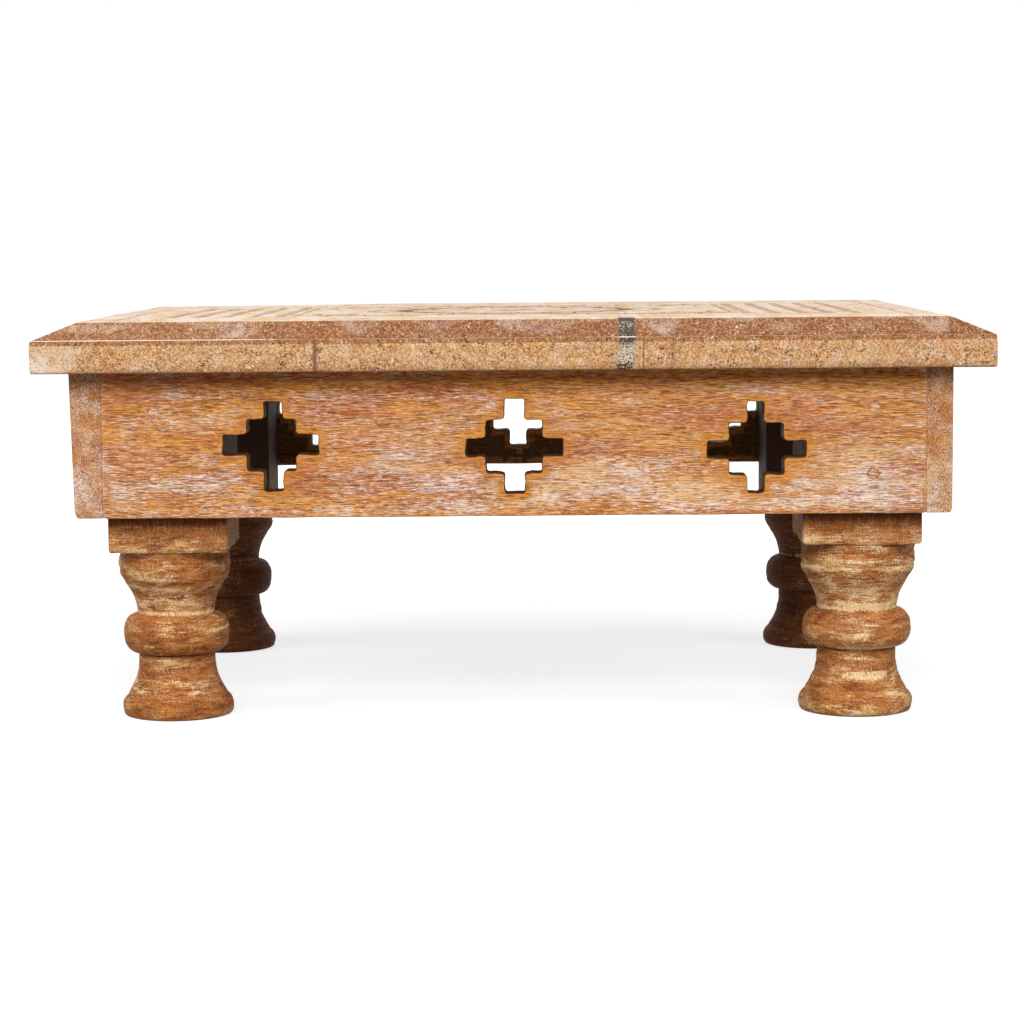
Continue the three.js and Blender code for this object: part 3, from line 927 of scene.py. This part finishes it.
def apron(side, cutouts, material, seed):
    """A board with sawn cut-outs, rounded arrises and recesses for its plugs."""
    rim = board_outline(side, seed)
    shell = Shell()
    section = arris_section(side.thickness)
    front, back = [], []
    for outline, way in [(rim, -1)] + [(cutout, 1) for cutout in cutouts]:
        rows = edge_of(shell, side, outline, way, section)
        front.append(rows[0])
        back.append(rows[-1])
    for x, z, node in side.plug_places():
        rows = round_rows(shell, side, x, z, PLUG_HOLE)
        front.append(rows[0])
        shell.cap(rows[-1])
    fill_side(shell, side, front, cutouts, True, seed)
    fill_side(shell, side, back, cutouts, False, seed)
    shell.piece("pierced_" + side.node, material, side.node)


def board_outline(side, seed):
    half, low, high = side.half_length, side.bottom, side.top
    corners = [(-half, low), (half, low), (half, high), (-half, high)]
    outline = along(rounded(corners, 0.7 * MM, 0.7 * MM), 3 * MM)
    solid = vectors(*outline.T, 0)
    lower = ramp(outline[:, 1], low + 2 * MM, low)
    wave = 0.25 * MM * (1 + noise(solid, 24, seed)) * lower
    return outline + vectors(0, wave)


def edge_of(shell, side, outline, way, section):
    """Rows of vertices round one outline, across the board's edge."""
    out = normals(outline) * way
    rows = []
    for inset, depth in section:
        place = outline + out * inset
        points = side.in_table(place[:, 0], depth, place[:, 1])
        rounding = float(0 < inset < ARRIS + 1e-9)
        if way > 0:
            # Cut-out walls: unlimed and stained, and darkened with painted shade.
            marks = {"stain": 0.8, "wash": -1.0, "dirt": 0.75 if inset < ARRIS else 0.0}
        else:
            at_end = abs(place[:, 0]) > side.half_length - MM
            low_end = at_end * ramp(place[:, 1], 185 * MM, 150 * MM)
            marks = {"stain": 0.5 * rounding, "wear": 0.6 * rounding,
                     "wash": 0.06 * at_end + 0.25 * low_end}
        rows.append(shell.add(points, **marks))
    shell.join(rows)
    return rows


def fill_side(shell, side, rows, cutouts, is_front, seed):
    """Fills a board's front or back face between its outlines."""
    everything = np.concatenate(shell.points)
    outlines = [side.laid_out(everything[row]) for row in rows]
    points = face_points(outlines, is_front, seed)
    near = distance_to(points, cutouts)
    depth = 0.0 if is_front else side.thickness
    sink = 0.09 * MM * (1 + noise(vectors(*points.T, depth), (60, 14, 9), seed + 5))
    sink *= ramp(distance_to(points, outlines), 0, 6 * MM)
    placed = side.in_table(points[:, 0], depth + (sink if is_front else -sink), points[:, 1])
    # Back faces, inside the frame: unlimed and stained, with painted shade darkening them.
    marks = face_marks(side, points, near, seed) if is_front else dict(stain=1.0, wash=-1.0, dirt=0.65)
    own = shell.add(placed, **marks)
    numbers = np.concatenate([*rows, own])
    shell.faces += numbers[fill_face(outlines, points)].tolist()


def face_marks(side, points, near, seed):
    """Wood worn golden round the cut-outs, lime in broad patches, most of them low down, and painted
    shade under the top: no lime and darker wood near the upper edge.
    """
    x, height = points.T
    close = hump(near, 4 * MM)
    # Painted shade under the top's overhang.
    shaded = ramp(height, side.top - 16 * MM, side.top - 4 * MM)
    patches = 0.26 * noise(vectors(x, height, 0), (70, 20, 1), seed + 9)
    low = 0.24 * ramp(height, 185 * MM, 150 * MM)
    right_end = ramp(x, 185 * MM, 235 * MM)
    return {"stain": 0.9 * close,
            "wash": patches + low + 0.04 * right_end - 0.04 - 0.8 * close - 0.9 * shaded,
            # Painted shade near the top edge, and darker towards the right end.
            "dirt": 0.3 * ramp(height, side.top - 9 * MM, side.top) + 0.3 * right_end}


def plug(side, x, z, node, material, seed):
    """A wooden plug, a little off the middle of its hole."""
    rng = np.random.default_rng(seed)
    x, z = x + rng.uniform(-0.1, 0.1) * MM, z + rng.uniform(-0.1, 0.1) * MM
    shell = Shell()
    rows = round_rows(shell, side, x, z, PLUG, wash=0.2)
    shell.cap(rows[0])
    shell.cap(rows[-1])
    shell.piece("filled_" + node, material, node)


def side_cutouts(side, seed):
    if side.name == "front":
        cuts = [(np.array(xs) * MM, np.array(zs) * MM) for xs, zs in FRONT_CUTOUTS]
    else:
        places = BACK_CUTOUT_PLACES if side.name == "back" else SIDE_CUTOUT_PLACES
        cuts = [(regular_cuts(place, STEP_WIDTH, seed + 10 * i),
                 regular_cuts(CUTOUT_HEIGHT, STEP_HEIGHT, seed + 10 * i + 5))
                for i, place in enumerate(places)]
    return [sawn(stepped_cross(xs, zs), seed + i) for i, (xs, zs) in enumerate(cuts)]


# The side boards are a little browner
SIDE_COLOURS = dict(middle="cb8546", red="bd7040", gold="d58c38", deep="854519")


def make_aprons():
    looks = {
        "front": (0, (0, 0, 0), (40, 120), {}),
        "back": (180, (30, 20, 900), (-30, 240), {}),
        "left": (-90, (15, 70, 300), (-230, 130), SIDE_COLOURS),
        "right": (90, (0, 30, 1300), (300, 90), SIDE_COLOURS),
    }
    for seed, (name, (turn, shift, pith, colours)) in enumerate(looks.items(), 41):
        side = Side(name, turn)
        material = wood("apron_wood_" + name, "apron", side.grain, shift, pith, **colours)
        apron(side, side_cutouts(side, 100 * seed), material, seed)
        plug_wood = wood("plug_wood_" + name, "apron", side.grain, (50, 33, 77))
        for i, (x, z, node) in enumerate(side.plug_places()):
            plug(side, x, z, node, plug_wood, seed * 7 + i)


# Legs

# The turned part in section: radius and height in mm, from the floor up
FOOT = [(33.6, 0), (35.5, 0.6), (36.4, 2.4), (36.9, 5.4), (36.7, 8.6), (35.0, 11.6), (33.2, 13.1),
        (32.6, 14.6), (30.4, 18.6), (28.0, 23.6), (27.0, 25.6), (26.8, 27.6), (25.8, 33.0)]
COVE = [(25.9, 70.5), (26.6, 73.5), (28.0, 78.3), (30.8, 83.4), (33.6, 88.2), (35.6, 91.4),
        (36.6, 94.6), (36.2, 96.6), (37.0, 98.6), (36.9, 103.0), (36.3, 105.6), (36.8, 108.0)]
BULB_BULGE, NECK, BULB_FULLNESS = 9.4, 25.7, 2.3

# How the legs differ: their sizes and shifts in mm, their lime and wear, and their wood. The back legs'
# lower wash and wear, which leave less lime, are painted shade.
Leg = namedtuple("Leg", "growth foot_shift collar_shift bulb bulb_half block "
                        "wash foot_wash worn shift pith")
LEGS = {
    "front_left": Leg(-0.8, 0.4, -0.5, 53.9, 12.5, 109.4, 0, 0, 0.95, (0, 0, 0), (-260, -130)),
    "front_right": Leg(0.0, -0.3, 1.2, 54.6, 12.0, 111.8, 0, 0.25, 0.95, (7, 3, 400), (190, -210)),
    "back_left": Leg(0.1, 0.2, -0.3, 53.4, 12.7, 110.8, -0.4, 0, 0.3, (3, 9, 800), (-200, 190)),
    "back_right": Leg(-0.3, -0.4, 0.3, 54.2, 12.3, 110.2, -0.4, 0, 0.3, (9, 5, 1200), (250, 120)),
}
# Darker colours for the back legs: painted shade, for the table's shadow over them.
BACK_LEG_SHADED_COLOURS = dict(deep="48200b", middle="804722", red="73391b", pale="9d6537", gold="8a5118")


def through(points, step):
    """Evenly spaced points on a smooth curve through points."""
    points = np.asarray(points, float)
    padded = np.vstack([2 * points[0] - points[1], points, 2 * points[-1] - points[-2]])
    t = np.linspace(0, 1, 12, endpoint=False)[:, None]
    pieces = [0.5 * (2 * b + (c - a) * t + (2 * a - 5 * b + 4 * c - d) * t ** 2
                     + (3 * b - a - 3 * c + d) * t ** 3)
              for a, b, c, d in zip(padded, padded[1:], padded[2:], padded[3:])]
    curve = np.vstack(pieces + [points[-1:]])
    total = lengths_along(curve)[-1]
    return at_lengths(curve, np.linspace(0, total, int(total / step) + 1))


def bulb_outline(middle, half_height):
    angle = np.linspace(-pi / 2, pi / 2, 41)
    power = 2 / BULB_FULLNESS
    radius = NECK + BULB_BULGE * np.cos(angle).clip(0) ** power
    return vectors(radius, middle + half_height * np.sign(np.sin(angle)) * abs(np.sin(angle)) ** power)


def turned_outline(form):
    """The turned part from the floor up, with the bulb where this leg has it."""
    bulb = bulb_outline(form.bulb, form.bulb_half)
    foot = FOOT + [(25.5, bulb[0, 1] - 0.6)]
    cove = [(25.6, bulb[-1, 1] + 0.6)] + COVE + [(36.7, form.block - 0.4)]
    return np.vstack([through(foot, LEG_ROW / MM), bulb, through(cove, LEG_ROW / MM)]) * MM


def turn_angles():
    """Angles round a leg, crowded at the corners of its block."""
    even = np.linspace(0, 2 * pi, LEG_TURN_STEPS, endpoint=False)
    return even + LEG_CORNER_CROWDING * np.sin(4 * even) / 4


def square_radius(angle, half, rounding):
    """Distance from the middle to a square with rounded corners."""
    c, s = abs(np.cos(angle)), abs(np.sin(angle))
    flat = half / np.maximum(c, s)
    centre = half - rounding
    reach = np.sqrt(np.maximum(rounding ** 2 - centre ** 2 * (1 - 2 * c * s), 0))
    return np.where(np.minimum(c, s) * flat > centre, centre * (c + s) + reach, flat)


def tool_marks(angle, height, seed):
    """Ridges left by the gouge, from -1 to 1."""
    around = vectors(np.cos(angle) * 20 * MM, np.sin(angle) * 20 * MM, height)
    lift = 2.4 * MM * noise(around, (22, 22, 30), seed + 2)
    ridges = noise(around + vectors(0, 0, lift), (34, 34, 3.4), seed)
    return 0.75 * ridges + 0.35 * noise(around, (14, 14, 9), seed + 1)


def leg(name, material, form, seed):
    low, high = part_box(name)
    centre = (low + high) / 2
    angle = turn_angles()
    bottom = form.block * MM
    shell = Shell()

    def row(x, reach, height, **marks):
        return shell.add(vectors(x + reach * np.cos(angle), centre.y + reach * np.sin(angle),
                                 low.z + height), **marks)

    rows = []
    for radius, height in turned_outline(form):
        ridge = tool_marks(angle, height, seed)
        reach = radius + form.growth * MM + TOOL_DEPTH * ridge * ramp(height, 0, 3 * MM)
        shift = form.foot_shift + (form.collar_shift - form.foot_shift) * min(height / bottom, 1)
        rows.append(row(centre.x + shift * MM, reach, height, turned=1.0, ridge=ridge,
                        **turned_marks(height, form, ridge)))
    wander = 0.5 * MM * noise(vectors(np.cos(angle), np.sin(angle), 0), 300, seed + 7)
    for half, height, rounding in block_rows((high.x - low.x) / 2, bottom, high.z):
        wandering = wander * ramp(height, bottom + 4 * MM, bottom + MM)
        rows.append(row(centre.x, square_radius(angle, half, rounding), height + wandering,
                        **block_marks(height, bottom)))
    shell.join(rows)
    shell.cap(rows[0])
    shell.cap(rows[-1])
    shell.piece("turned_" + name, material, name)


def turned_marks(height, form, ridge):
    """Painted shade in the creases under the bulb and the block, dirt in the valleys between ridges,
    and lime at the neck of the bulb and on the ridges.
    """
    grooves = (form.bulb - form.bulb_half, form.block)
    crease = min(abs(height - line * MM) for line in grooves)
    neck = (form.bulb + form.bulb_half + 2) * MM
    cove = ramp(height, neck, neck + 4 * MM) * ramp(height, 94 * MM, 84 * MM)
    foot = form.foot_wash * ramp(height, 14 * MM, 9 * MM)
    return {
        # Painted shade in the creases, and dirt in the valleys.
        "dirt": np.maximum(0.95 * hump(crease, 0.8 * MM), 0.4 * ramp(-ridge, 0.15, 0.6)),
        "wear": np.maximum((0.95 + 0.5 * ridge) * hump(height - neck, 2.4 * MM),
                           form.worn * ramp(ridge, 0.2, 0.55)),
        "wash": 0.4 * cove + 0.2 * (height > 94 * MM) + foot + form.wash,
    }


def block_rows(half, bottom, top):
    """The block's rows, from its underside to its top."""
    r = BLOCK_ROUNDING
    yield half * 0.985, bottom + 0.35 * MM, r
    yield half - 0.5 * r, bottom + 0.5 * MM, r
    yield half - 0.13 * r, bottom + 0.5 * MM + 0.5 * r, r
    yield half, bottom + 0.5 * MM + r, r
    for height in np.linspace(bottom + 4 * MM, top - MM, int((top - bottom) / BLOCK_ROW)):
        yield half, height, r
    yield half - 0.3 * MM, top, r


def block_marks(height, bottom):
    """A pale lower part, and painted shade on the upper part, under the aprons and where they cover it.
    """
    near = hump(height - bottom - 3 * MM, 6 * MM)
    # Painted shade under and behind the aprons: less lime and darker wood.
    covered = ramp(height, 124 * MM, 136 * MM)
    shaded = ramp(height, 118 * MM, 134 * MM)
    return {"wash": 0.45 * near - 0.8 * covered, "dirt": 0.35 * covered + 0.48 * shaded,
            "turned": 0.9 - 0.6 * shaded}


def make_legs():
    for seed, (place, form) in enumerate(LEGS.items(), 71):
        # The back legs take darker colours as painted shade.
        shaded_colours = BACK_LEG_SHADED_COLOURS if "back" in place else {}
        material = wood("leg_wood_" + place, "leg", "Z", form.shift, form.pith, turned=True, **shaded_colours)
        leg("leg_" + place, material, form, seed)


# Pieces that keep the frame's own shape

def steel(name):
    graph = Graph(bpy.data.materials.new(name))
    place = graph.object_place()
    fine = graph.noise(place * (900, 900, 2500), 3.0)
    coarse = graph.noise(place * (260, 260, 260), 3.0)
    colour = coarse.step(0.42, 0.62).between(linear("6c655c"), linear("a19d96"))
    return graph.finish(colour, coarse * 0.35 + 0.25, fine, 0.5, 0.05 * MM, metallic=1.0)


def dress_hidden_pieces():
    """Gives the cleats and the screws their finishes."""
    finishes = {"leg_screw": steel("screw_steel_grain")}
    finishes["cleat_screw"] = finishes["leg_screw"]
    for i, name in enumerate(("cleat_front", "cleat_back", "cleat_left", "cleat_right")):
        finishes[name] = wood("cleat_wood_" + name[6:], "cleat", "XXYY"[i], (i * 60, 40, 9))
    for name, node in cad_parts.items():
        for start, material in finishes.items():
            if name.startswith(start):
                node.data.materials.clear()
                node.data.materials.append(material)


# Floor, lights and camera

def make_stage():
    bpy.ops.mesh.primitive_plane_add(size=30, location=(0, 0, 0))
    floor = bpy.context.object
    floor.name = "floor"
    graph = Graph(bpy.data.materials.new("pale_floor"))
    glow = graph.object_place().length().step(0.36, 0.9) * 0.26 + 0.74
    white = graph.node("Emission", {"Strength": glow})
    shown = graph.node("BsdfDiffuse", {"Color": (0.5, 0.5, 0.5, 1)})
    both = graph.node("AddShader", {0: shown, 1: white})
    dull = graph.node("BsdfDiffuse", {"Color": (0.24, 0.23, 0.22, 1)})
    choice = graph.node("MixShader", {0: graph.shown_behind(), 1: dull, 2: both})
    floor.data.materials.append(graph.put_out(choice))


def make_world():
    graph = Graph(bpy.data.worlds.new("studio"))
    bpy.context.scene.world = graph.owner
    fill = graph.node("Background", {"Strength": 0.09})
    white = graph.node("Background", {"Color": (1, 1, 1, 1)})
    choice = graph.node("MixShader", {0: graph.shown_behind(), 1: fill, 2: white})
    graph.put_out(choice, "World")


# Rectangular lamps that face the table: azimuth from the front, elevation, distance, width,
# height and power
SOFT_BOXES = {
    "front_box": (0, 27, 3.0, 2.4, 1.2, 69),
    "left_box": (-62, 30, 3.0, 1.4, 1.4, 22),
    "right_box": (62, 30, 3.0, 1.4, 1.4, 19),
    "top_box": (0, 86, 2.6, 2.4, 2.0, 27),
    "back_box": (180, 40, 3.0, 2.0, 1.2, 14),
}
LAMP_TARGET_HEIGHT = 0.16


def turned(round_z, round_x):
    return Matrix.Rotation(round_z, 4, "Z") @ Matrix.Rotation(round_x, 4, "X")


def make_lights():
    for name, (azimuth, elevation, distance, width, height, power) in SOFT_BOXES.items():
        lamp = bpy.data.lights.new(name, "AREA")
        lamp.shape = "RECTANGLE"
        lamp.size = width
        lamp.size_y = height
        lamp.energy = power
        facing = turned(radians(azimuth), pi / 2 - radians(elevation))
        add_object(name, lamp).matrix_world = (Matrix.Translation((0, 0, LAMP_TARGET_HEIGHT))
                                               @ facing @ Matrix.Translation((0, 0, distance)))


# The camera, at the place from which the table was photographed
CAMERA_PLACE = (15.2333 * MM, -2000.907 * MM, 320.8541 * MM)
CAMERA_YAW, CAMERA_PITCH, CAMERA_ROLL = (radians(a) for a in (-0.5294, -5.8592, -0.4761))
FOCAL_PIXELS, IMAGE_PIXELS, SENSOR = 2868.2993, 1024, 36.0


def make_camera():
    camera = bpy.data.cameras.new("camera")
    camera.sensor_width = SENSOR
    camera.lens = SENSOR * FOCAL_PIXELS / IMAGE_PIXELS
    camera.clip_end = 50
    made = add_object("camera", camera)
    facing = turned(-CAMERA_YAW, pi / 2 + CAMERA_PITCH)
    made.matrix_world = (Matrix.Translation(CAMERA_PLACE) @ facing
                         @ Matrix.Rotation(CAMERA_ROLL, 4, "Z"))
    bpy.context.scene.camera = made


make_camera()
make_world()
make_lights()
make_stage()
make_top()
make_aprons()
make_legs()
dress_hidden_pieces()
bpy.context.scene.view_settings.view_transform = "Standard"
